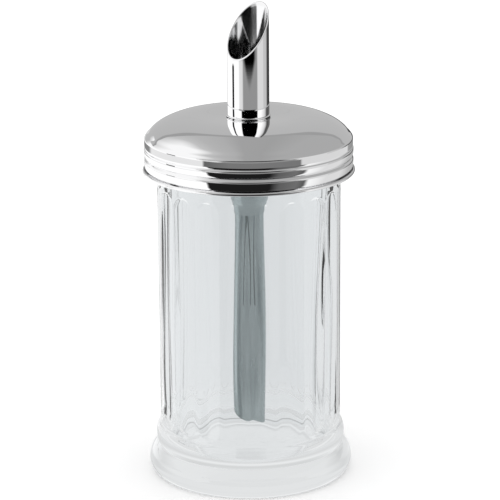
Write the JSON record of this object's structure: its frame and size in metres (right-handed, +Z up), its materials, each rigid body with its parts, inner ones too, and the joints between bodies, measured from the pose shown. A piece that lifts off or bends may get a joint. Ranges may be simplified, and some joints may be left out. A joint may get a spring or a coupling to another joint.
{
  "type": "sugar dispenser",
  "caption": "Fluted glass sugar jar with a domed steel screw cap, an oblique pouring spout with a self-closing flap, and an inner dosing tube.",
  "frame": {"origin": "middle of the jar's base, on the table", "axes": "+Z up along the jar's axis; the picture looks along +Y with +X to the right; the spout's mouth opens towards -X and -Y, its tip at 52 degrees from +X towards +Y"},
  "size_m": [0.0792, 0.0792, 0.1794],
  "materials": {
    "clear_glass": "clear, fire-polished",
    "polished_steel": "bright polished",
    "drawn_steel": "drawn, satin",
    "seal_silicone": "soft matt",
    "insert_plastic": "moulded"
  },
  "bodies": {
    "jar": {"glass_jar": "clear_glass"},
    "seal": {"sealing_ring": "seal_silicone"},
    "cap": {"screw_cap": "polished_steel", "thread_insert": "insert_plastic", "spout_tube": "polished_steel", "retaining_ring": "drawn_steel", "dosing_tube": "drawn_steel", "flap_pin": "drawn_steel"},
    "flap": {"flap_leaf": "polished_steel"}
  },
  "joints": [
    {"name": "cap_lift", "type": "slide", "parent": "jar", "child": "seal", "axis": [0, 0, 1], "range_m": [0, 0.005]},
    {"name": "cap_turn", "type": "hinge", "parent": "seal", "child": "cap", "pos_m": [0, 0, 0.1225], "axis": [0, 0, 1], "range_deg": [0, 420]},
    {"name": "flap_swing", "type": "hinge", "parent": "cap", "child": "flap", "pos_m": [-0.00247, -0.00316, 0.13338], "axis": [0.788, -0.6157, 0], "range_deg": [0, 33]}
  ],
  "couplings": [
    {"joint": "cap_lift", "follows": "cap_turn", "m_per_rad": 0.00066845}
  ]
}
